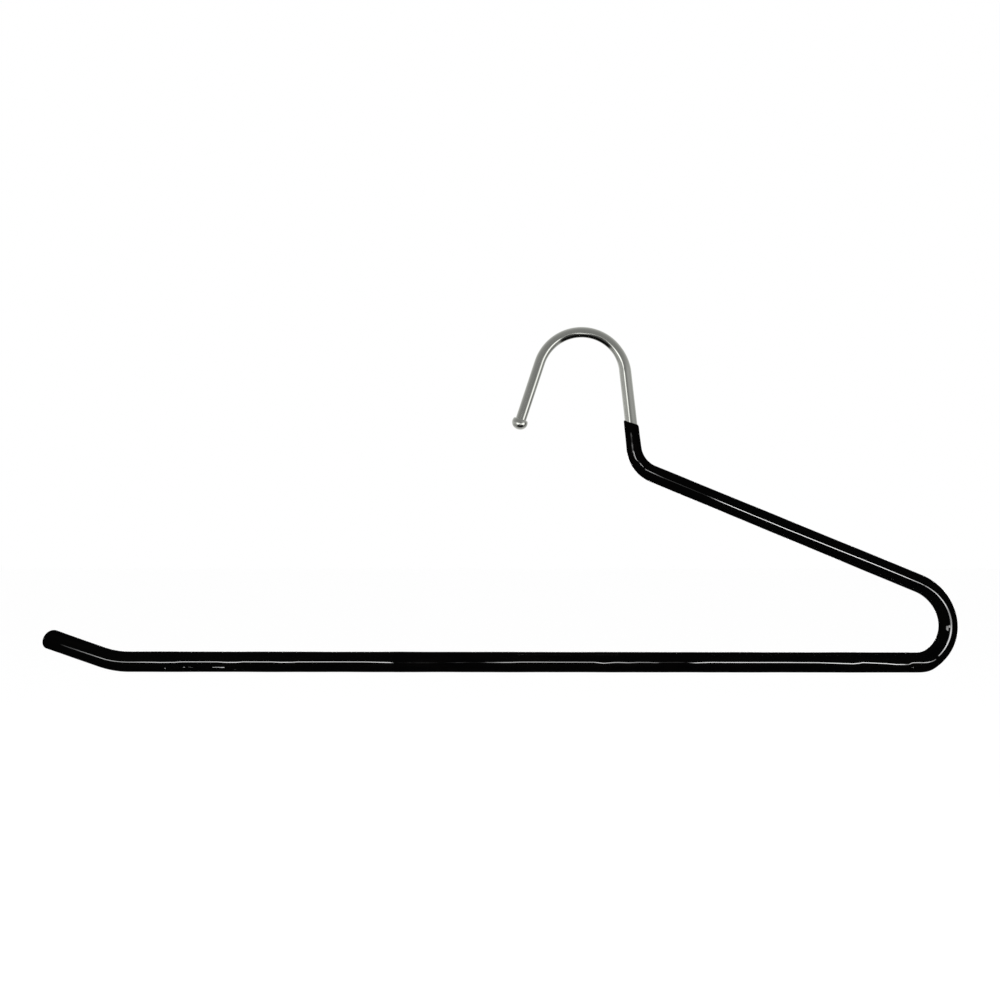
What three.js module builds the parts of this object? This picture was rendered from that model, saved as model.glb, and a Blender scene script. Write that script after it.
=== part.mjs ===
// Open-ended trouser hanger: one bent chromed steel wire, a ball cap on the hook's tip and a soft
// dipped coat over the arm, the return bend and the trouser bar.
// Millimetres and degrees, +Z up. The hanger lies in the XZ plane with its return bend towards +X.
// The origin is the crown of the hook's inner arch, the point that sits on a rail.
import * as THREE from 'three';

// Steel wire, a little thicker on the neck, where it enters the coat
const wireDiameter = 4.3;
const neckDiameter = 4.9;
const neckSwellLength = 9;
const wireEndChamfer = 0.4;

// Hook: a leg that leans outwards, the arch, and the neck down to the coated part
const tipLegLength = 24;
const tipLegLean = 18.3;
const archRadius = 17.7;
const neckLength = 31.35;
const neckLean = 6.5;

// Arm, the three-radius return bend at its end, the bar, and the bar's upturned end
const shoulderRadius = 12.5;
const armLength = 115.35;
const armSlope = 22.4;
const returnTopRadius = 19.6;
const returnTopTurn = 54.5;
const returnSideRadius = 15.7;
const returnSideTurn = 60.8;
const returnCornerRadius = 11.6;
const barLength = 316.4;
const barSlope = 0.06;
const upturnRadius = 34.1;
const upturnSlope = 19.3;
const upturnLength = 24.55;

// Coat: its wall where each stretch ends, thicker where the part hung deeper in the dip
const mouthWall = 0.73;
const neckWall = 0.95;
const shoulderWall = 1.28;
const armWall = 1.6;
const returnTopWall = 1.71;
const returnSideWall = 1.92;
const returnCornerWall = 2;
const barWall = 2.03;
const upturnWall = 1.95;
const cornerSag = 0.35;

// Coat mouth, a slanted line round the neck, measured down from the arch
const mouthDrop = 20.75;
const mouthSlant = 24;
const lipRound = 0.6;

// Coat's closed end, a lopsided dome that hangs lower on its underside
const endWall = 2.2;
const endDomeTop = 4.1;
const endDomeUnderside = 2.4;
const endApexDrop = 0.75;

// Ball cap on the hook's tip
const capOverhang = 1.05;
const capLength = 4.35;
const capWidest = 1.5;
const capShoulderRound = 0.65;
const capSeatDepth = 2.6;

// Clearance round the wire, in the coat and in the cap
const fitGap = 0.1;

// Facets
const sides = 24;
const bendStep = 7.5;
const lipSteps = 3;
const domeSteps = 6;
const capSteps = 8;

const radians = THREE.MathUtils.degToRad;
const wireRadius = wireDiameter / 2;
const seatRadius = wireRadius + fitGap;

// The centreline is a chain of stretches, each a straight run or a bend. A bend to the left of
// the way the wire runs has a positive turn.
function run(length, wall) {
  return { length, curvature: 0, wall };
}

function bend(radius, turn, wall) {
  return { length: radius * Math.abs(radians(turn)), curvature: Math.sign(turn) / radius, wall };
}

const tipHeading = 90 - tipLegLean;
const neckHeading = neckLean - 90;
const returnCornerTurn = 180 - armSlope + barSlope - returnTopTurn - returnSideTurn;
const wireStartLength = capSeatDepth - fitGap;

const tipLeg = run(wireStartLength + tipLegLength);
const arch = bend(archRadius, neckHeading - tipHeading);
const neck = run(neckLength, neckWall);
const shoulder = bend(shoulderRadius, -armSlope - neckHeading, shoulderWall);
const arm = run(armLength, armWall);
const returnTop = bend(returnTopRadius, -returnTopTurn, returnTopWall);
const returnSide = bend(returnSideRadius, -returnSideTurn, returnSideWall);
const returnCorner = bend(returnCornerRadius, -returnCornerTurn, returnCornerWall);
const bar = run(barLength, barWall);
const upturnBend = bend(upturnRadius, barSlope - upturnSlope, barWall);
const upturn = run(upturnLength, upturnWall);

const stretches = [
  tipLeg, arch, neck, shoulder, arm, returnTop, returnSide, returnCorner, bar, upturnBend, upturn,
];

// A point and its two directions after a length of one stretch. Along follows the wire, and across
// points to its left in the hanger's plane.
function follow(place, stretch, length) {
  const turned = place.heading + stretch.curvature * length;
  const point = place.point.clone();
  if (stretch.curvature === 0) {
    point.x += length * Math.cos(turned);
    point.z += length * Math.sin(turned);
  } else {
    point.x += (Math.sin(turned) - Math.sin(place.heading)) / stretch.curvature;
    point.z += (Math.cos(place.heading) - Math.cos(turned)) / stretch.curvature;
  }
  return { point, heading: turned };
}

// The wire's start is worked back from the arch, whose centre hangs straight below the origin
function wireStart() {
  const heading = radians(tipHeading);
  const along = new THREE.Vector3(Math.cos(heading), 0, Math.sin(heading));
  const across = new THREE.Vector3(-Math.sin(heading), 0, Math.cos(heading));
  const point = new THREE.Vector3(0, 0, wireRadius - archRadius);
  point.addScaledVector(across, archRadius);
  point.addScaledVector(along, -tipLeg.length);
  return { point, heading };
}

function chainStretches() {
  let place = wireStart();
  let station = 0;
  for (const stretch of stretches) {
    stretch.from = station;
    stretch.place = place;
    place = follow(place, stretch, stretch.length);
    station += stretch.length;
  }
  return station;
}

const pathEnd = chainStretches();

function placeAt(station) {
  const stretch = stretches.findLast((each) => each.from <= station) ?? tipLeg;
  const { point, heading } = follow(stretch.place, stretch, station - stretch.from);
  const along = new THREE.Vector3(Math.cos(heading), 0, Math.sin(heading));
  const across = new THREE.Vector3(-Math.sin(heading), 0, Math.cos(heading));
  return { point, along, across };
}

// Stations of the rings from one place to another: the ends of runs, and even steps round bends
function stationsBetween(from, to) {
  const stations = [];
  for (const stretch of stretches) {
    const turn = THREE.MathUtils.radToDeg(Math.abs(stretch.curvature) * stretch.length);
    const steps = Math.max(1, Math.round(turn / bendStep));
    for (let i = 0; i < steps; i += 1) {
      stations.push(stretch.from + (stretch.length * i) / steps);
    }
  }
  return [from, ...stations.filter((station) => station > from && station < to), to];
}

// The wire swells over the end of the arch and thins to its own size again round the shoulder
function wireRadiusAt(station) {
  const swell = 1 + (station - neck.from) / neckSwellLength;
  const thinning = (arm.from - station) / shoulder.length;
  const share = THREE.MathUtils.clamp(Math.min(swell, thinning), 0, 1);
  return THREE.MathUtils.lerp(wireRadius, neckDiameter / 2, share);
}

function boreRadiusAt(station) {
  return wireRadiusAt(station) + fitGap;
}

// A ring of points round the wire. The shape gives, for each angle, how far the point lies across
// the plane, out of the plane and along the wire from the station.
function ring(station, shape) {
  const { point, along, across } = placeAt(station);
  const outOfPlane = new THREE.Vector3(0, 1, 0);
  return Array.from({ length: sides }, (_, i) => {
    const offset = shape((2 * Math.PI * i) / sides);
    return point.clone()
      .addScaledVector(across, offset.across)
      .addScaledVector(outOfPlane, offset.out)
      .addScaledVector(along, offset.along ?? 0);
  });
}

function round(radius) {
  return (angle) => ({ across: radius * Math.cos(angle), out: radius * Math.sin(angle) });
}

// One closed skin through a row of rings, with a flat fan over the first and the last
function loft(rings) {
  const points = rings.flat();
  const faces = [];
  for (let i = 0; i + 1 < rings.length; i += 1) {
    for (let j = 0; j < sides; j += 1) {
      const next = (j + 1) % sides;
      const here = i * sides;
      const there = here + sides;
      faces.push(here + j, there + j, here + next);
      faces.push(here + next, there + j, there + next);
    }
  }
  const last = (rings.length - 1) * sides;
  const firstCentre = points.length;
  const lastCentre = firstCentre + 1;
  points.push(middle(rings[0]), middle(rings[rings.length - 1]));
  for (let j = 0; j < sides; j += 1) {
    const next = (j + 1) % sides;
    faces.push(firstCentre, j, next);
    faces.push(lastCentre, last + next, last + j);
  }
  const geometry = new THREE.BufferGeometry().setFromPoints(points);
  geometry.setIndex(faces);
  geometry.computeVertexNormals();
  return geometry;
}

function middle(points) {
  const sum = new THREE.Vector3();
  points.forEach((point) => sum.add(point));
  return sum.divideScalar(points.length);
}

const coatMouth = neck.from + mouthDrop;
const wireEnd = pathEnd - endWall - fitGap;

// The wire, from its cut end in the ball cap to its cut end in the coat
function makeWire() {
  const full = stationsBetween(wireEndChamfer, wireEnd - wireEndChamfer);
  const tipFace = wireRadius - wireEndChamfer;
  return loft([
    ring(0, round(tipFace)),
    ...full.map((station) => ring(station, round(wireRadiusAt(station)))),
    ring(wireEnd, round(tipFace)),
  ]);
}

// Outside radius of the coat, its wall graded between the ends of the stretches and measured from
// the wire's own size
function coatRadius(station) {
  const stretch = stretches.findLast((each) => each.from < station) ?? neck;
  const before = stretches[stretches.indexOf(stretch) - 1];
  const startWall = stretch === neck ? mouthWall : before.wall;
  const start = stretch === neck ? coatMouth : stretch.from;
  const end = stretch.from + stretch.length;
  const share = THREE.MathUtils.clamp((station - start) / (end - start), 0, 1);
  return wireRadius + THREE.MathUtils.lerp(startWall, stretch.wall, share);
}

// The coat sags outwards where the return bend meets the bar, fullest half way round the corner
function sagAt(station) {
  const share = (station - returnCorner.from) / returnCorner.length;
  return share > 0 && share < 1 ? cornerSag * Math.sin(Math.PI * share) ** 2 : 0;
}

function coatShape(station) {
  const sag = sagAt(station) / 2;
  const radius = coatRadius(station) + sag;
  return (angle) => ({ across: sag + radius * Math.cos(angle), out: radius * Math.sin(angle) });
}

// The lip rolls from the bore's edge to the outside on a slanted plane
function mouthShape(radius, setBack) {
  const slope = Math.tan(radians(mouthSlant));
  return (angle) => {
    const across = radius * Math.cos(angle);
    return { across, out: radius * Math.sin(angle), along: across * slope + setBack };
  };
}

function lipRings() {
  const bore = boreRadiusAt(coatMouth);
  const wall = wireRadius + mouthWall - bore;
  return Array.from({ length: lipSteps + 1 }, (_, i) => {
    const angle = (Math.PI / 2) * (i / lipSteps);
    const radius = bore + wall * Math.sin(angle);
    return ring(coatMouth, mouthShape(radius, lipRound * (1 - Math.cos(angle))));
  });
}

// The dome's rings shrink towards an apex that lies low, with a longer fall on the upper side
function domeRings() {
  const outside = wireRadius + upturnWall;
  const middleFall = (endDomeTop + endDomeUnderside) / 2;
  const extraFall = (endDomeTop - endDomeUnderside) / 2;
  return Array.from({ length: domeSteps }, (_, i) => {
    const angle = (Math.PI / 2) * (i / domeSteps);
    const radius = outside * Math.cos(angle);
    const drop = endApexDrop * (1 - Math.cos(angle));
    return ring(pathEnd, (around) => ({
      across: drop + radius * Math.cos(around),
      out: radius * Math.sin(around),
      along: -(middleFall - extraFall * Math.cos(around)) * (1 - Math.sin(angle)),
    }));
  });
}

// The coat: up the bore from its blind end, over the lip, and down the outside to the closed end
function makeCoat() {
  const lipReach = (wireRadius + mouthWall) * Math.tan(radians(mouthSlant));
  const mouthEdge = coatMouth + lipRound + lipReach;
  const bore = stationsBetween(mouthEdge, wireEnd + fitGap).reverse();
  const outside = stationsBetween(mouthEdge, pathEnd - endDomeTop).slice(1, -1);
  return loft([
    ...bore.map((station) => ring(station, round(boreRadiusAt(station)))),
    ...lipRings(),
    ...outside.map((station) => ring(station, coatShape(station))),
    ...domeRings(),
  ]);
}

// The ball cap: a blind seat for the wire, a rounded shoulder and a low dome, turned about Y
function makeCap() {
  const outside = wireRadius + capOverhang;
  const shoulder = outside - capShoulderRound;
  const profile = [
    new THREE.Vector2(0, capSeatDepth),
    new THREE.Vector2(seatRadius, capSeatDepth),
    new THREE.Vector2(seatRadius, 0),
  ];
  for (let i = 0; i <= capSteps; i += 1) {
    const angle = (Math.PI / 2) * (i / capSteps);
    const x = shoulder + capShoulderRound * Math.sin(angle);
    profile.push(new THREE.Vector2(x, capWidest * (1 - Math.cos(angle))));
  }
  for (let i = 1; i <= capSteps; i += 1) {
    const angle = (Math.PI / 2) * (i / capSteps);
    const y = capWidest + (capLength - capWidest) * Math.sin(angle);
    profile.push(new THREE.Vector2(i === capSteps ? 0 : outside * Math.cos(angle), y));
  }
  return new THREE.LatheGeometry(profile, sides);
}

const chrome = new THREE.MeshStandardMaterial({ color: 0xb4b5ae, roughness: 0.12, metalness: 1 });
const blackCoat = new THREE.MeshStandardMaterial({ color: 0x080808, roughness: 0.14, metalness: 0 });

function named(name, geometry, material) {
  const mesh = new THREE.Mesh(geometry, material);
  mesh.name = name;
  return mesh;
}

const hanger = new THREE.Group();
hanger.add(named('bent_wire', makeWire(), chrome));
hanger.add(named('soft_coat', makeCoat(), blackCoat));

const cap = named('hook_tip_cap', makeCap(), chrome);
const shoulderPlace = placeAt(wireStartLength);
cap.position.copy(shoulderPlace.point);
cap.quaternion.setFromUnitVectors(new THREE.Vector3(0, 1, 0), shoulderPlace.along.negate());
hanger.add(cap);

export default hanger;
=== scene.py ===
import math

import bpy
import numpy as np
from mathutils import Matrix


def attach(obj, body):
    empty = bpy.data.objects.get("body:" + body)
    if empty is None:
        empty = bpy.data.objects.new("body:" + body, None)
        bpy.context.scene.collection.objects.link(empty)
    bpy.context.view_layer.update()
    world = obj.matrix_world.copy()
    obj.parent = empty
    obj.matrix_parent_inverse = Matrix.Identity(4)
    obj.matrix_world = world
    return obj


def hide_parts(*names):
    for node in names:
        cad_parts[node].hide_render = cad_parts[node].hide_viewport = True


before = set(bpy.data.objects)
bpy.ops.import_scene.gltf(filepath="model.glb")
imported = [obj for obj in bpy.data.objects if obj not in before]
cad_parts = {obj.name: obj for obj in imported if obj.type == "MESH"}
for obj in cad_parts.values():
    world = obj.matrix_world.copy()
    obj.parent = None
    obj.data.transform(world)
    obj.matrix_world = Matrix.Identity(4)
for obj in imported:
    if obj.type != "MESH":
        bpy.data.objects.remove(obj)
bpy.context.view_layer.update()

# Millimetres and degrees, up to the stage
MM = 0.001

# Wire and hook
WIRE_RADIUS = 2.15
NECK_RADIUS = 2.45
NECK_SWELL_LENGTH = 9
WIRE_END_CHAMFER = 0.4
TIP_LEG_LENGTH = 24
TIP_LEG_LEAN = 18.3
ARCH_RADIUS = 17.7
NECK_LENGTH = 31.35
NECK_LEAN = 6.5

# Arm, return bend and bar
SHOULDER_RADIUS = 12.5
ARM_LENGTH = 115.35
ARM_SLOPE = 22.4
RETURN_TOP = (19.6, 54.5)
RETURN_SIDE = (15.7, 60.8)
RETURN_CORNER_RADIUS = 11.6
BAR_LENGTH = 316.4
BAR_SLOPE = 0.06
UPTURN_RADIUS = 34.1
UPTURN_SLOPE = 19.3
UPTURN_LENGTH = 24.55

# Coat
MOUTH_WALL = 0.73
CORNER_SAG = 0.35
MOUTH_DROP = 20.75
MOUTH_SLANT = 24
LIP_ROUND = 0.6
LIP_TO_SKIN = 0.25
END_WALL = 2.2
END_DOME_TOP = 4.1
END_DOME_UNDERSIDE = 2.4
END_APEX_DROP = 0.75

# Ball cap
CAP_OVERHANG = 1.05
CAP_LENGTH = 4.35
CAP_WIDEST = 1.5
CAP_SHOULDER_ROUND = 0.65
CAP_SEAT_DEPTH = 2.6

FIT_GAP = 0.1

# Sides of a ring, and steps between rings along a straight run and in degrees round a bend
WIRE_SIDES = 64
COAT_SIDES = 96
WIRE_STEPS = (1.0, 2.5)
COAT_STEPS = (0.4, 0.8)
BAR_STEPS = (0.8, 1.6)
HIDDEN_STEPS = (400, 5)
LEAST_STEP = 0.05

# Lengths over which rings are finer or relief fades, and the angle past which an edge is sharp
SHOWN_PAST_MOUTH = 3
FINE_BAR_LENGTH = 32
EASE_LENGTH = 4
SHARP_ANGLE = 35

# The dipped skin's slow waves and finer ripples: depth, and length for each radian
WAVE_DEPTH, WAVE_LENGTH = 0.016, 7.3
RIPPLE_DEPTH, RIPPLE_LENGTH = 0.010, 3.1


def run(length, wall=0.0):
    return {"length": length, "curvature": 0.0, "wall": wall}


def bend(radius, turn, wall=0.0):
    return {
        "length": radius * abs(math.radians(turn)),
        "curvature": math.copysign(1 / radius, turn),
        "wall": wall,
    }


TIP_HEADING = 90 - TIP_LEG_LEAN
NECK_HEADING = NECK_LEAN - 90
WIRE_START = CAP_SEAT_DEPTH - FIT_GAP
CORNER_TURN = 180 - ARM_SLOPE + BAR_SLOPE - RETURN_TOP[1] - RETURN_SIDE[1]

STRETCHES = {
    "tip_leg": run(WIRE_START + TIP_LEG_LENGTH),
    "arch": bend(ARCH_RADIUS, NECK_HEADING - TIP_HEADING),
    "neck": run(NECK_LENGTH, 0.95),
    "shoulder": bend(SHOULDER_RADIUS, -ARM_SLOPE - NECK_HEADING, 1.28),
    "arm": run(ARM_LENGTH, 1.6),
    "return_top": bend(RETURN_TOP[0], -RETURN_TOP[1], 1.71),
    "return_side": bend(RETURN_SIDE[0], -RETURN_SIDE[1], 1.92),
    "return_corner": bend(RETURN_CORNER_RADIUS, -CORNER_TURN, 2.0),
    "bar": run(BAR_LENGTH, 2.03),
    "upturn_bend": bend(UPTURN_RADIUS, BAR_SLOPE - UPTURN_SLOPE, 2.03),
    "upturn": run(UPTURN_LENGTH, 1.95),
}


def follow(point, heading, curvature, length):
    turned = heading + curvature * length
    if curvature == 0:
        step = (length * math.cos(turned), length * math.sin(turned))
    else:
        step = (
            (math.sin(turned) - math.sin(heading)) / curvature,
            (math.cos(heading) - math.cos(turned)) / curvature,
        )
    return (point[0] + step[0], point[1] + step[1]), turned


def chain_stretches():
    heading = math.radians(TIP_HEADING)
    leg = STRETCHES["tip_leg"]["length"]
    x = -ARCH_RADIUS * math.sin(heading) - leg * math.cos(heading)
    z = WIRE_RADIUS - ARCH_RADIUS + ARCH_RADIUS * math.cos(heading) - leg * math.sin(heading)
    point = (x, z)
    station = 0.0
    for stretch in STRETCHES.values():
        stretch.update({"from": station, "point": point, "heading": heading})
        point, heading = follow(point, heading, stretch["curvature"], stretch["length"])
        station += stretch["length"]
        stretch["to"] = station
    return station


PATH_END = chain_stretches()
COAT_MOUTH = STRETCHES["neck"]["from"] + MOUTH_DROP
WIRE_END = PATH_END - END_WALL - FIT_GAP


def place_at(station):
    """A point of the centreline, the way it runs, and the way across it, all as (x, y, z)."""
    stretch = [s for s in STRETCHES.values() if s["from"] <= max(station, 0)][-1]
    point, heading = follow(
        stretch["point"], stretch["heading"], stretch["curvature"], station - stretch["from"]
    )
    along = np.array([math.cos(heading), 0, math.sin(heading)])
    across = np.array([-math.sin(heading), 0, math.cos(heading)])
    return np.array([point[0], 0, point[1]]), along, across


def stations_between(start, end, straight_step, turn_step):
    stations = []
    for stretch in STRETCHES.values():
        turn = abs(math.degrees(stretch["curvature"] * stretch["length"]))
        steps = stretch["length"] / straight_step if turn == 0 else turn / turn_step
        steps = max(1, round(steps))
        for i in range(steps):
            stations.append(stretch["from"] + stretch["length"] * i / steps)
    inside = [s for s in stations if start + LEAST_STEP < s < end - LEAST_STEP]
    return [start, *inside, end]


def ring(station, angles, across, out, along=0.0):
    """One ring of points, and the same points on a wire that was never bent."""
    point, way, side = place_at(station)
    count = len(angles)
    across, out, along = (np.broadcast_to(v, count) for v in (across, out, along))
    points = point + across[:, None] * side + along[:, None] * way
    points[:, 1] += out
    straight = np.column_stack([across, out, station + along])
    return points, straight


def round_ring(station, angles, radius, along=0.0):
    return ring(station, angles, radius * np.cos(angles), radius * np.sin(angles), along)


def loft(name, rings):
    """A closed skin through rings of points, with its straightened coordinates as an attribute."""
    sides = len(rings[0][0])
    points = np.concatenate([r[0] for r in rings])
    straight = np.concatenate([r[1] for r in rings])
    first, last = len(points), len(points) + 1
    for end in (rings[0], rings[-1]):
        points = np.vstack([points, end[0].mean(0)])
        straight = np.vstack([straight, end[1].mean(0)])
    faces = []
    for i in range(len(rings) - 1):
        here, there = i * sides, (i + 1) * sides
        for j in range(sides):
            k = (j + 1) % sides
            faces.append((here + j, there + j, there + k, here + k))
    base = (len(rings) - 1) * sides
    for j in range(sides):
        k = (j + 1) % sides
        faces.append((first, j, k))
        faces.append((last, base + k, base + j))
    mesh = bpy.data.meshes.new(name)
    mesh.from_pydata((points * MM).tolist(), [], faces)
    mesh.polygons.foreach_set("use_smooth", [True] * len(mesh.polygons))
    unbent = mesh.attributes.new("unbent", "FLOAT_VECTOR", "POINT")
    unbent.data.foreach_set("vector", straight.astype(np.float32).ravel())
    mesh.set_sharp_from_angle(angle=math.radians(SHARP_ANGLE))
    mesh.update()
    piece = bpy.data.objects.new(name, mesh)
    bpy.context.scene.collection.objects.link(piece)
    return piece


def wire_radius(station):
    """The wire swells over the end of the arch and thins again round the shoulder."""
    neck, arm = STRETCHES["neck"]["from"], STRETCHES["arm"]["from"]
    places = [neck - NECK_SWELL_LENGTH, neck, STRETCHES["neck"]["to"], arm]
    return np.interp(station, places, [WIRE_RADIUS, NECK_RADIUS, NECK_RADIUS, WIRE_RADIUS])


def bore_radius(station):
    return wire_radius(station) + FIT_GAP


def make_wire():
    angles = np.linspace(0, 2 * math.pi, WIRE_SIDES, endpoint=False)
    hidden_from = COAT_MOUTH + SHOWN_PAST_MOUTH
    shown = stations_between(WIRE_END_CHAMFER, hidden_from, *WIRE_STEPS)
    hidden = stations_between(hidden_from, WIRE_END - WIRE_END_CHAMFER, *HIDDEN_STEPS)[1:]
    tip_face = WIRE_RADIUS - WIRE_END_CHAMFER
    rings = [round_ring(0, angles, tip_face)]
    rings += [round_ring(s, angles, wire_radius(s)) for s in shown + hidden]
    rings += [round_ring(WIRE_END, angles, tip_face)]
    return loft("polished_wire", rings)


def coat_radius(station):
    coated = [s for s in STRETCHES.values() if s["wall"] > 0]
    walls = np.interp(
        station,
        [COAT_MOUTH, *(s["to"] for s in coated)],
        [MOUTH_WALL, *(s["wall"] for s in coated)],
    )
    return WIRE_RADIUS + walls


# Where the skin is fullest across its face, at a station along it
RIDGE_LINE = [
    (98, 0.05), (108, 0), (110, -0.2), (112, 0.3), (114, 0.35), (116, 0.15), (118, 0.37),
    (122, 0.17), (142, 0.17), (146, 0.09), (150, 0.02), (160, -0.08), (176, -0.09), (200, 0.1),
    (216, 0.24), (228, 0.24), (236.4, 0.19), (238, 0.22), (249, 0.8), (254, 0.98), (259, 0.92),
    (264, 0.95), (269, 0.85), (271, 1.05), (274, 0.55), (277.4, 0.05), (280.2, 0.09), (281.6, 0.82),
    (286.8, 0.78), (291, 0.42), (296, 0.2), (300, 0.02), (301.6, 0.29), (304, 0.52), (311, 0.29),
    (318, 0.09), (330, 0.02), (362, 0.01), (366, 0.19), (368, 0.22), (372, 0.04), (380, 0.04),
    (383, 0.16), (386, 0.05), (390, 0.02), (394, 0.2), (398, 0.06), (400, 0.1), (404, 0.4),
    (408, 0), (420, 0), (432, -0.04), (438, -0.03), (441, 0.08), (453, 0.16), (488, 0.26),
    (492, 0.16), (500, -0.04), (527, -0.02), (529, 0.14), (534, 0.16), (537, -0.01), (549, -0.01),
    (551, 0.22), (556, 0.22), (559, 0.02), (574, 0.02), (576, 0.21), (582, 0.26), (585, 0.18),
    (597, 0.16), (603, 0.32), (612, 0.46), (620, 0.54),
]

# The strength of the gloss at a station along the skin
SHINE = [
    (97, 0), (99.2, 0), (100, 0.24), (101.2, 0.12), (103, 0.06), (104.6, 0.44), (106.3, 0.15),
    (107, 0.82), (110.6, 0.72), (111, 0.1), (112, 0.1), (112.4, 0.6), (113.9, 0.6), (114.3, 0),
    (115.2, 0), (115.6, 0.9), (118, 0.95), (120, 0.42), (124, 0.08), (142, 0.03), (144, 0.2),
    (150, 1.8), (156, 1.9), (162, 1.5), (210, 1.5), (228, 1.3), (234, 0.7), (236.2, 0.7),
    (236.5, 0.2), (236.8, 0.2), (237.1, 0.6), (244, 1.1), (248, 1), (250.5, 0.45), (255.8, 0.5),
    (259, 1.05), (265, 1), (269.1, 0.6), (269.4, 0), (270.8, 0), (271.1, 0.5), (273, 1), (281, 0.9),
    (281.6, 0.4), (282.6, 0.4), (283.4, 1), (286, 1.4), (310, 1.4), (316, 1.2), (366, 1.3),
    (367.5, 0.9), (369, 0.3), (371, 0.05), (381.5, 0.05), (382.6, 0.4), (384, 0.5), (390, 0.5),
    (396, 0.9), (403, 1), (406, 1.4), (408, 0.8), (444, 0.95), (449, 0.3), (454, 0.3), (456, 0.15),
    (478, 0.8), (483, 1), (483.6, 0.05), (488.6, 0.05), (489, 1.2), (500, 0.95), (529, 1),
    (532, 1.3), (537, 1), (549, 1), (552, 1.3), (559, 0.95), (590, 0.9), (595, 0.6), (600, 0.5),
    (606, 0.75), (612, 0.52), (617, 0.2), (621, 0.12), (623, 0),
]

# Flow marks that stand out of the skin: station, place across, length and width
FLOW_MARK_END = 0.2
FLOW_MARK_LEAN = 0.027
FLOW_MARKS = [
    (280.2, 1.9, 1.8, 0.3), (549, 3.1, 0.5, 0.4), (552, 3.0, 0.7, 0.7), (558.6, 2.15, 5.2, 0.6),
    (569.8, 2.15, 2.4, 0.25), (572.4, 2.15, 1.0, 0.5), (580, 2.5, 0.8, 1.0),
]

# Matt patches of the skin: from and to station, from and to across
MATT_PATCHES = [
    (97, 107, -4, -0.8), (253.2, 256.2, -4, 0.55), (256, 259, -5, -1.0), (257.2, 258.5, -0.4, 0.5),
    (258.4, 262.6, -4, 0.45),
]


def dip_relief(station, angles):
    """How far the dipped skin lies inside its nominal round, in millimetres."""
    wave = 1 + math.sin(station / WAVE_LENGTH + 0.6)
    ripple = 1 + np.sin(station / RIPPLE_LENGTH + 2.0 * np.sin(angles + 0.4))
    return WAVE_DEPTH * wave * (1 + 0.5 * np.cos(2 * angles + 0.8)) + RIPPLE_DEPTH * ripple


def lip_set_back(angles):
    """How far the coat's lip lies behind its even line round the wire, in millimetres."""
    return 0.06 * (1 + np.sin(3 * angles + 1.0)) + 0.04 * (1 + np.sin(5 * angles))


def make_coat():
    angles = np.linspace(0, 2 * math.pi, COAT_SIDES, endpoint=False)
    slope = math.tan(math.radians(MOUTH_SLANT))
    lip_reach = (WIRE_RADIUS + MOUTH_WALL) * slope
    mouth_edge = COAT_MOUTH + LIP_ROUND + lip_reach
    rings = []
    for station in reversed(stations_between(mouth_edge, WIRE_END + FIT_GAP, *HIDDEN_STEPS)):
        rings.append(round_ring(station, angles, bore_radius(station)))
    bore = bore_radius(COAT_MOUTH)
    wall = WIRE_RADIUS + MOUTH_WALL - bore
    for turn in np.linspace(0, math.pi / 2, 9):
        radius = bore + wall * math.sin(turn)
        across = radius * np.cos(angles)
        set_back = LIP_ROUND * (1 - math.cos(turn)) + lip_set_back(angles)
        rings.append(
            ring(COAT_MOUTH, angles, across, radius * np.sin(angles), across * slope + set_back)
        )
    sag_from = STRETCHES["return_corner"]["from"]
    sag_length = STRETCHES["return_corner"]["length"]
    skin_start, skin_end = mouth_edge + LIP_TO_SKIN, PATH_END - END_DOME_TOP
    fine_end = STRETCHES["bar"]["from"] + FINE_BAR_LENGTH
    stations = stations_between(skin_start, fine_end, *COAT_STEPS)
    stations += stations_between(fine_end, skin_end, *BAR_STEPS)[1:]
    for station in stations:
        share = min(max((station - sag_from) / sag_length, 0), 1)
        sag = CORNER_SAG * math.sin(math.pi * share) ** 2 / 2
        ease = min(1, (station - skin_start) / EASE_LENGTH)
        ease *= min(1, (skin_end - station) / EASE_LENGTH)
        radius = coat_radius(station) + sag - ease * dip_relief(station, angles)
        ridge = ease * np.interp(station, *zip(*RIDGE_LINE)) * np.sin(angles) ** 2
        across = sag + ridge + radius * np.cos(angles)
        rings.append(ring(station, angles, across, radius * np.sin(angles)))
    outside = coat_radius(PATH_END)
    middle_fall = (END_DOME_TOP + END_DOME_UNDERSIDE) / 2
    extra_fall = (END_DOME_TOP - END_DOME_UNDERSIDE) / 2
    for turn in np.linspace(0, math.pi / 2, 25)[:-1]:
        radius = outside * math.cos(turn)
        drop = END_APEX_DROP * (1 - math.cos(turn))
        fall = -(middle_fall - extra_fall * np.cos(angles)) * (1 - math.sin(turn))
        rings.append(
            ring(PATH_END, angles, drop + radius * np.cos(angles), radius * np.sin(angles), fall)
        )
    coat = loft("dipped_coat", rings)
    across, _, stations = np.concatenate([r[1] for r in rings]).T
    shine = np.interp(stations, *zip(*SHINE))
    for start, end, low, high in MATT_PATCHES:
        inside = (stations > start) & (stations < end) & (across > low) & (across < high)
        shine[inside] = 0
    attribute = coat.data.attributes.new("shine", "FLOAT", "POINT")
    attribute.data.foreach_set("value", np.append(shine, [0, 0]).astype(np.float32))
    return coat


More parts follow.
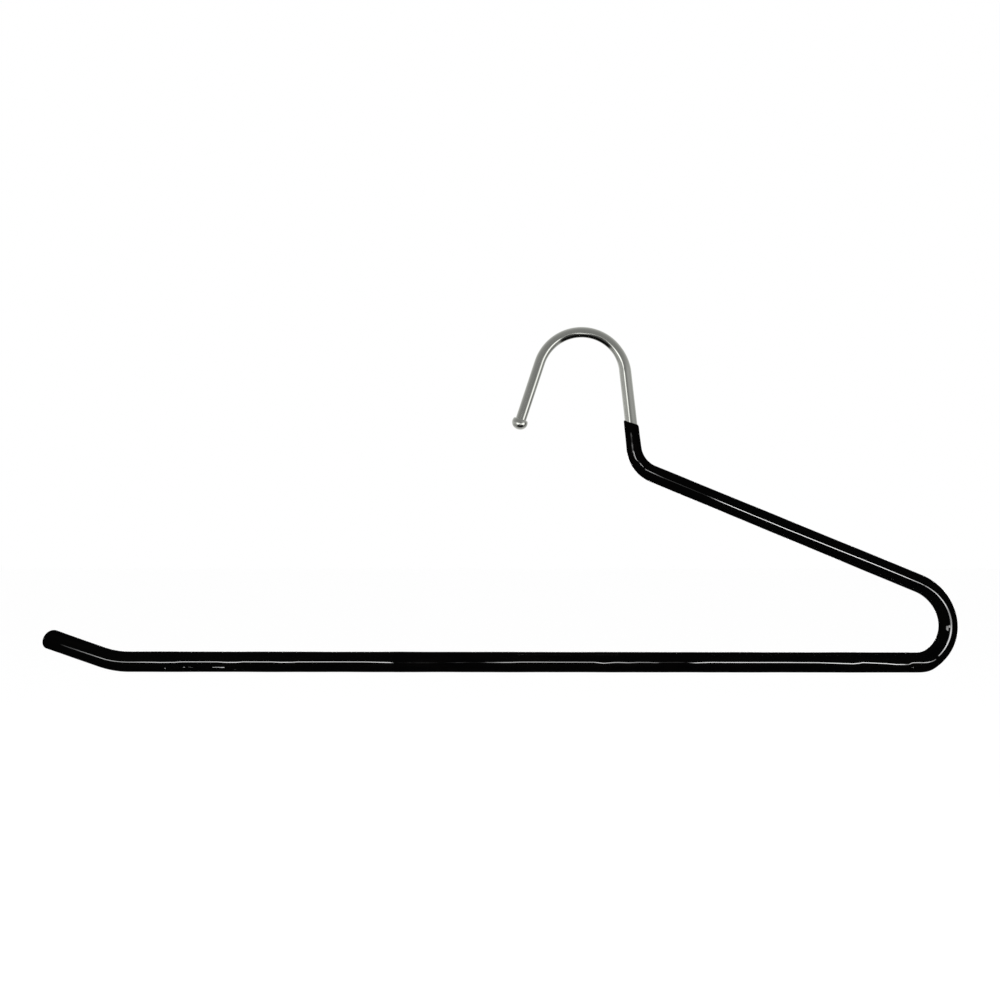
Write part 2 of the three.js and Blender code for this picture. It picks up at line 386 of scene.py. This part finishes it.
def make_cap():
    angles = np.linspace(0, 2 * math.pi, WIRE_SIDES, endpoint=False)
    outside = WIRE_RADIUS + CAP_OVERHANG
    shoulder = outside - CAP_SHOULDER_ROUND
    seat, seat_middle = bore_radius(0), 0.3
    profile = [(seat_middle, CAP_SEAT_DEPTH), (seat, CAP_SEAT_DEPTH), (seat, 0.0)]
    profile += [
        (shoulder + CAP_SHOULDER_ROUND * math.sin(a), CAP_WIDEST * (1 - math.cos(a)))
        for a in np.linspace(0, math.pi / 2, 17)
    ]
    profile += [
        (outside * math.cos(a), CAP_WIDEST + (CAP_LENGTH - CAP_WIDEST) * math.sin(a))
        for a in np.linspace(0, math.pi / 2, 25)[1:-1]
    ]
    return loft("ball_cap", [round_ring(WIRE_START, angles, r, -y) for r, y in profile])


# Materials, with bump heights in units of four thousandths of a millimetre
BUMP_UNIT = 4e-6
WHITE = (1, 1, 1, 1)


def new_material(name):
    material = bpy.data.materials.new(name)
    material.use_nodes = True
    return material, material.node_tree, material.node_tree.nodes["Principled BSDF"]


def node(tree, kind, inputs=None, **values):
    made = tree.nodes.new(kind)
    for key, value in values.items():
        setattr(made, key, value)
    for key, value in (inputs or {}).items():
        if isinstance(value, bpy.types.NodeSocket):
            tree.links.new(value, made.inputs[key])
        else:
            made.inputs[key].default_value = value
    return made


def math_node(tree, operation, a, b, c=None):
    inputs = {0: a, 1: b} if c is None else {0: a, 1: b, 2: c}
    return node(tree, "ShaderNodeMath", inputs, operation=operation).outputs[0]


def unbent_place(tree):
    """Coordinates of the straightened wire in millimetres: across, out and along."""
    return node(tree, "ShaderNodeAttribute", attribute_name="unbent").outputs["Vector"]


def stretched(tree, scale):
    """Coordinates of the straightened wire, each axis times its own scale."""
    inputs = {0: unbent_place(tree), 1: scale}
    return node(tree, "ShaderNodeVectorMath", inputs, operation="MULTIPLY").outputs[0]


def noise(tree, vector, scale, detail=3.0, roughness=0.5):
    inputs = {"Vector": vector, "Scale": scale, "Detail": detail, "Roughness": roughness}
    return node(tree, "ShaderNodeTexNoise", inputs).outputs["Fac"]


def levels(tree, value, low, high, to_low, to_high):
    inputs = {"Value": value, 1: low, 2: high, 3: to_low, 4: to_high}
    return node(tree, "ShaderNodeMapRange", inputs).outputs[0]


def mix_colour(tree, factor, a, b):
    made = tree.nodes.new("ShaderNodeMix")
    made.data_type = "RGBA"
    tree.links.new(factor, made.inputs["Factor"])
    colours = [s for s in made.inputs if s.type == "RGBA"]
    colours[0].default_value = (*a, 1)
    colours[1].default_value = (*b, 1)
    return next(s for s in made.outputs if s.type == "RGBA")


def chrome_material():
    material, tree, shader = new_material("bright_chrome_over_drawn_steel")
    lines = noise(tree, stretched(tree, (1, 1, 0.02)), 5.0, 4.0, 0.6)
    haze = noise(tree, stretched(tree, (1, 1, 0.35)), 0.28, 3.0)
    pits = noise(tree, stretched(tree, (1, 1, 0.6)), 3.4, 2.0)
    pit_mask = levels(tree, pits, 0.70, 0.76, 0.0, 1.0)
    axes = node(tree, "ShaderNodeSeparateXYZ", {0: unbent_place(tree)}).outputs
    crown = STRETCHES["arch"]["from"] + STRETCHES["arch"]["length"] / 2
    off_crown = math_node(tree, "ABSOLUTE", math_node(tree, "SUBTRACT", axes[2], crown), 0)
    near_crown = levels(tree, off_crown, 5.0, 15.0, 1.0, 0.0)
    inner_side = levels(tree, axes[0], -1.2, -1.9, 0.0, 1.0)
    worn = math_node(tree, "MULTIPLY", near_crown, inner_side)
    scratches = noise(tree, stretched(tree, (1, 0.08, 1)), 6.0, 2.0, 0.7)
    scuffs = math_node(tree, "MULTIPLY", worn, levels(tree, scratches, 0.5, 0.62, 0.0, 1.0))
    rough = math_node(tree, "MULTIPLY_ADD", lines, 0.07, 0.035)
    rough = math_node(tree, "MULTIPLY_ADD", haze, 0.05, rough)
    rough = math_node(tree, "MULTIPLY_ADD", pit_mask, 0.15, rough)
    rough = math_node(tree, "MULTIPLY_ADD", scuffs, 0.18, rough)
    tree.links.new(rough, shader.inputs["Roughness"])
    dull = math_node(tree, "MAXIMUM", levels(tree, haze, 0.35, 0.7, 0.0, 0.7), pit_mask)
    colour = mix_colour(tree, dull, (0.62, 0.63, 0.585), (0.54, 0.55, 0.51))
    tree.links.new(colour, shader.inputs["Base Color"])
    shader.inputs["Metallic"].default_value = 1.0
    height = math_node(tree, "MULTIPLY_ADD", lines, 0.5, math_node(tree, "MULTIPLY", haze, 2.0))
    height = math_node(tree, "MULTIPLY_ADD", scuffs, -0.6, height)
    bump = node(tree, "ShaderNodeBump", {"Height": height, "Strength": 1.0, "Distance": BUMP_UNIT})
    tree.links.new(bump.outputs[0], shader.inputs["Normal"])
    return material


def flow_mark(tree, station, across, length, width):
    """A low ridge along the skin, in bump units. Its near flank leans back to face the lens."""
    radius = coat_radius(station)
    crest = across + width / 4
    middle = {0: unbent_place(tree), 1: (crest, -math.sqrt(radius**2 - crest**2), station)}
    away = node(tree, "ShaderNodeVectorMath", middle, operation="SUBTRACT").outputs[0]
    beside = node(tree, "ShaderNodeVectorMath", {0: away, 1: (1, 1, 0)}, operation="MULTIPLY")
    beside = node(tree, "ShaderNodeVectorMath", {0: beside.outputs[0]}, operation="LENGTH")
    along = node(tree, "ShaderNodeSeparateXYZ", {0: away}).outputs[2]
    along = math_node(tree, "ABSOLUTE", along, 0)
    rise = width / 2 * math.tan(math.asin(across / radius) + FLOW_MARK_LEAN)
    flank = levels(tree, beside.outputs["Value"], 0.0, width / 2, rise * MM / BUMP_UNIT, 0.0)
    ends = levels(tree, along, length / 2 - FLOW_MARK_END, length / 2, 1.0, 0.0)
    return math_node(tree, "MULTIPLY", flank, ends)


def coat_material():
    material, tree, shader = new_material("dipped_gloss_black_vinyl")
    flow = noise(tree, stretched(tree, (1, 1, 0.18)), 0.35, 3.0)
    peel = noise(tree, stretched(tree, (1, 1, 1)), 0.9, 2.0)
    fine = noise(tree, stretched(tree, (1, 1, 0.5)), 6.0, 2.0)
    rubs = noise(tree, stretched(tree, (1.0, 1.0, 0.06)), 2.2, 3.0, 0.65)
    rub_mask = levels(tree, rubs, 0.58, 0.72, 0.0, 1.0)
    cloudy = levels(tree, flow, 0.3, 0.7, 0.0, 1.0)
    colour = mix_colour(tree, cloudy, (0.0006, 0.0006, 0.0007), (0.0012, 0.0011, 0.001))
    tree.links.new(colour, shader.inputs["Base Color"])
    rough = math_node(tree, "MULTIPLY_ADD", flow, 0.03, 0.01)
    rough = math_node(tree, "MULTIPLY_ADD", fine, 0.02, rough)
    rough = math_node(tree, "MULTIPLY_ADD", rub_mask, 0.03, rough)
    tree.links.new(rough, shader.inputs["Roughness"])
    shader.inputs["IOR"].default_value = 1.5
    usual_level = 0.5
    shine = node(tree, "ShaderNodeAttribute", attribute_name="shine").outputs["Fac"]
    level = math_node(tree, "MULTIPLY", shine, usual_level)
    tree.links.new(level, shader.inputs["Specular IOR Level"])
    height = math_node(tree, "MULTIPLY_ADD", peel, 0.07, math_node(tree, "MULTIPLY", flow, 0.7))
    height = math_node(tree, "MULTIPLY_ADD", fine, 0.005, height)
    for mark in FLOW_MARKS:
        height = math_node(tree, "ADD", height, flow_mark(tree, *mark))
    bump = node(tree, "ShaderNodeBump", {"Height": height, "Strength": 1.0, "Distance": BUMP_UNIT})
    tree.links.new(bump.outputs[0], shader.inputs["Normal"])
    return material


wire = make_wire()
coat = make_coat()
cap = make_cap()
chrome = chrome_material()
wire.data.materials.append(chrome)
cap.data.materials.append(chrome)
coat.data.materials.append(coat_material())

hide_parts("bent_wire")
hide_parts("soft_coat")
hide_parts("hook_tip_cap")
for piece in (wire, coat, cap):
    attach(piece, "root")


# Stage, in metres but for the light tents, which are in millimetres
CAMERA_DISTANCE = 1.6
FRAME_WIDTH = 0.4022
FRAME_CENTRE = (-0.03278, -0.06532)
BACKDROP_EDGE = (0.88, 0.96)


def receivers(name, *pieces):
    collection = bpy.data.collections.new(name)
    for piece in pieces:
        collection.objects.link(piece)
    return collection


def glowing_mesh(name, points, faces, glow, seen_by):
    """A lamp with a shape of its own. It shows only in the gloss of the pieces that it lights."""
    mesh = bpy.data.meshes.new(name)
    mesh.from_pydata((np.asarray(points) * MM).tolist(), [], faces)
    attribute = mesh.attributes.new("glow", "FLOAT", "POINT")
    attribute.data.foreach_set("value", np.asarray(glow, np.float32))
    material = bpy.data.materials.new(name)
    material.use_nodes = True
    tree = material.node_tree
    tree.nodes.clear()
    level = node(tree, "ShaderNodeAttribute", attribute_name="glow").outputs["Fac"]
    light = node(tree, "ShaderNodeEmission", {"Strength": level}).outputs[0]
    clear = node(tree, "ShaderNodeBsdfTransparent").outputs[0]
    both = node(tree, "ShaderNodeAddShader", {0: light, 1: clear}).outputs[0]
    node(tree, "ShaderNodeOutputMaterial", {0: both})
    mesh.materials.append(material)
    lamp = bpy.data.objects.new(name, mesh)
    bpy.context.scene.collection.objects.link(lamp)
    lamp.visible_camera = False
    lamp.visible_diffuse = False
    lamp.visible_transmission = False
    lamp.visible_volume_scatter = False
    lamp.visible_shadow = False
    lamp.light_linking.receiver_collection = seen_by


# Softboxes for the coat's highlight: left and right edges and glow, and the back row's share of it
BACK_ROW_SHARE = 0.3
BOX_TOP = -0.015
BOX_BOTTOM = -0.205
SOFTBOXES = [
    (-0.400, -0.372, 7.0), (-0.372, -0.338, 11.0), (-0.338, -0.121, 17.5), (-0.109, -0.100, 2.5),
    (-0.056, 0.112, 13.5), (0.125, 0.400, 18.0), (0.400, 0.560, 10.0),
]

# The softbox on the left, for the coat's mouth: left and right edges, bottom, top and glow
LEFT_BOX = (-1.35, -0.42, -0.135, 0.0, 8.5)


def softbox(name, side, left, right, bottom, top, glow):
    """A lamp for the coat alone, as far from it as the camera: side is -1 in front, 1 behind."""
    light = bpy.data.lights.new(name, "AREA")
    light.shape = "RECTANGLE"
    light.size = right - left
    light.size_y = top - bottom
    light.energy = glow * math.pi * light.size * light.size_y
    lamp = bpy.data.objects.new(name, light)
    lamp.location = ((left + right) / 2, side * CAMERA_DISTANCE, (top + bottom) / 2)
    lamp.rotation_euler = (-side * math.pi / 2, 0, 0)
    lamp.visible_camera = False
    lamp.light_linking.receiver_collection = coat_only
    bpy.context.scene.collection.objects.link(lamp)


def softbox_row(name, side, share):
    for number, (left, right, glow) in enumerate(SOFTBOXES, 1):
        softbox(f"{name}_{number}", side, left, right, BOX_BOTTOM, BOX_TOP, share * glow)
    *place, glow = LEFT_BOX
    softbox(f"{name}_left", side, *place, share * glow)


def ramp(value, low, high):
    share = min(max((value - low) / (high - low), 0), 1)
    return share * share * (3 - 2 * share)


# The half-ring lamp under the lens: place round its axis, angle off it, half width and glow
WIRE_RING = [
    (-101, 20, 9, 0.0), (-97, 20, 9, 1.4), (-89, 21, 9, 1.6), (-83.5, 21, 12, 0.85),
    (-79, 26, 9, 1.6), (-74, 28, 9, 1.8), (-63, 30, 9, 1.85), (-50, 27, 8, 1.8), (-45, 23, 7, 1.2),
    (-38, 17, 6, 0.9), (-30, 5, 6, 0.4), (-20, 4, 6, 0.8), (-12, 16, 6, 1.1), (-4, 28, 6, 1.7),
    (4, 28, 6, 1.7), (12, 18, 6, 1.3), (20, 5, 6, 0.8), (30, 8, 6, 0.3), (34, 28, 9, 1.3),
    (39, 31, 10, 1.9), (46, 37, 12, 1.7), (62, 52, 16, 1.3), (76, 56, 18, 1.2), (84, 56, 18, 1.0),
    (90, 56, 18, 0.0),
]
CAP_RING = [
    (-98, 42, 16, 0.0), (-80, 42, 16, 0.5), (-66, 42, 16, 1.5), (-45, 38, 16, 1.7),
    (-32, 26, 12, 1.6), (-20, 19, 9, 1.5), (0, 24, 7, 0.9), (20, 27, 8, 1.1), (36, 32, 9, 1.3),
    (52, 48, 18, 1.6), (64, 55, 20, 1.7), (76, 56, 18, 1.4), (84, 56, 18, 1.0), (90, 56, 18, 0.0),
]

# The black card round that lamp: start and end round the axis, then dim, dark and far angles off it
WIRE_CARD = (-46, 34, 10, 46, 124)
CAP_CARD = (-38, 40, 46, 46, 76)

WIRE_TENT_RADIUS = 600
CAP_TENT_RADIUS = 650


def tent_glow(direction, ring, card):
    """Brightness of the light tent round the hook, by direction.

    The lens axis runs along -Y. Places round it are 0 straight below and positive to the right.
    """
    x, y, z = direction
    off_axis = math.degrees(math.acos(max(-1, min(1, -y))))
    turned = math.degrees(math.atan2(x, -z))

    # The cloth, brighter towards the back
    glow = 0.26 + 0.04 * ramp(off_axis, 8, 20) + 0.62 * ((1 + y) / 2) ** 2.2

    # A wide panel on the left and a narrow one on the right
    low_left = ramp(-turned, 45, 60) * ramp(turned, -98, -92) * ramp(off_axis, 3, 8)
    right = math.exp(-(((off_axis - 52) / 30) ** 4) - ((turned - 102) / 13) ** 2)
    glow += 0.17 * low_left * (1 - 0.8 * ramp(off_axis, 70, 140)) + 0.17 * right

    # Dim stretches of cloth at both sides
    dim_sides = ramp(turned, 30, 50) * ramp(-turned, -98, -92)
    dim_sides += ramp(-turned, 44, 52) * ramp(turned, -78, -68)
    glow -= 0.18 * dim_sides * ramp(off_axis, 74, 90) * (1 - ramp(off_axis, 134, 160))

    # The black card, then the lamp in front of it
    start, end, dim, dark, far = card
    shade = ramp(turned, start - 3, start + 3) * ramp(-turned, -end - 3, -end + 3)
    shade *= 0.74 * ramp(off_axis, dim, dim + 7) + 0.26 * ramp(off_axis, dark, dark + 12)
    glow *= 1 - shade * (1 - ramp(off_axis, far, far + 25))
    if ring[0][0] < turned < ring[-1][0]:
        reach, width, level = (
            np.interp(turned, [row[0] for row in ring], [row[i] for row in ring]) for i in (1, 2, 3)
        )
        glow += level * math.exp(-(((off_axis - reach) / width) ** 4))
    return glow * (1 - ramp(y, *BACKDROP_EDGE))


def light_tent(name, piece, radius, ring, card):
    centre = np.array([0.0, 0.0, -20.0])
    columns, rows = 240, 120
    directions = []
    for i in range(rows + 1):
        rise = math.pi * (i / rows - 0.5)
        for j in range(columns):
            turn = 2 * math.pi * j / columns
            directions.append(
                (math.cos(rise) * math.cos(turn), math.cos(rise) * math.sin(turn), math.sin(rise))
            )
    faces = []
    for i in range(rows):
        for j in range(columns):
            k = (j + 1) % columns
            a, b = i * columns, (i + 1) * columns
            faces.append((a + j, b + j, b + k, a + k))
    points = centre + radius * np.array(directions)
    glow = [tent_glow(d, ring, card) for d in directions]
    glowing_mesh(name, points, faces, glow, receivers(name + "_lights", piece))


def pale_floor():
    mesh = bpy.data.meshes.new("floor")
    reach, height, grey, lift_share = 12.0, -0.30, 0.8, 0.27
    corners = [(-reach, -reach), (reach, -reach), (reach, reach), (-reach, reach)]
    mesh.from_pydata([(x, y, height) for x, y in corners], [], [(0, 1, 2, 3)])
    material = bpy.data.materials.new("pale_floor")
    material.use_nodes = True
    tree = material.node_tree
    tree.nodes.clear()
    matt = node(tree, "ShaderNodeBsdfDiffuse", {"Color": (grey, grey, grey, 1)}).outputs[0]
    seen = node(tree, "ShaderNodeLightPath").outputs["Is Camera Ray"]
    lift = math_node(tree, "MULTIPLY", seen, lift_share)
    glow = node(tree, "ShaderNodeEmission", {"Strength": lift}).outputs[0]
    both = node(tree, "ShaderNodeAddShader", {0: matt, 1: glow}).outputs[0]
    node(tree, "ShaderNodeOutputMaterial", {0: both})
    mesh.materials.append(material)
    floor = bpy.data.objects.new("floor", mesh)
    bpy.context.scene.collection.objects.link(floor)
    floor.visible_glossy = False


def studio_world():
    world = bpy.data.worlds.new("studio")
    bpy.context.scene.world = world
    world.use_nodes = True
    tree = world.node_tree
    tree.nodes.clear()
    path = node(tree, "ShaderNodeLightPath").outputs
    way = node(tree, "ShaderNodeTexCoord").outputs["Generated"]
    y = node(tree, "ShaderNodeSeparateXYZ", {0: way}).outputs[1]
    backdrop = levels(tree, y, *BACKDROP_EDGE, 0.004, 1.0)
    shown = math_node(tree, "MAXIMUM", path["Is Camera Ray"], path["Is Transmission Ray"])
    lit = math_node(tree, "MULTIPLY_ADD", shown, 0.1, 0.9)
    plain, gloss = (
        node(tree, "ShaderNodeBackground", {"Color": WHITE, "Strength": strength}).outputs[0]
        for strength in (lit, backdrop)
    )
    both = node(tree, "ShaderNodeMixShader", {0: path["Is Glossy Ray"], 1: plain, 2: gloss})
    node(tree, "ShaderNodeOutputWorld", {0: both.outputs[0]})


def soft_key():
    light = bpy.data.lights.new("soft_key", "AREA")
    light.shape = "RECTANGLE"
    light.size = 0.9
    light.size_y = 0.6
    light.energy = 9
    lamp = bpy.data.objects.new("soft_key", light)
    lamp.location = (-0.45, -0.75, 1.1)
    lamp.rotation_euler = (math.radians(36), 0, math.radians(-30))
    lamp.visible_glossy = False
    bpy.context.scene.collection.objects.link(lamp)


def photo_camera():
    data = bpy.data.cameras.new("camera")
    camera = bpy.data.objects.new("camera", data)
    data.sensor_width = 36
    data.lens = data.sensor_width * CAMERA_DISTANCE / FRAME_WIDTH
    camera.location = (FRAME_CENTRE[0], -CAMERA_DISTANCE, FRAME_CENTRE[1])
    camera.rotation_euler = (math.pi / 2, 0, 0)
    bpy.context.scene.collection.objects.link(camera)
    bpy.context.scene.camera = camera


coat_only = receivers("coat_lights", coat)
softbox_row("front_box", -1, 1.0)
softbox_row("back_box", 1, BACK_ROW_SHARE)
light_tent("wire_tent", wire, WIRE_TENT_RADIUS, WIRE_RING, WIRE_CARD)
light_tent("cap_tent", cap, CAP_TENT_RADIUS, CAP_RING, CAP_CARD)
pale_floor()
studio_world()
soft_key()
photo_camera()
bpy.context.scene.view_settings.view_transform = "Standard"
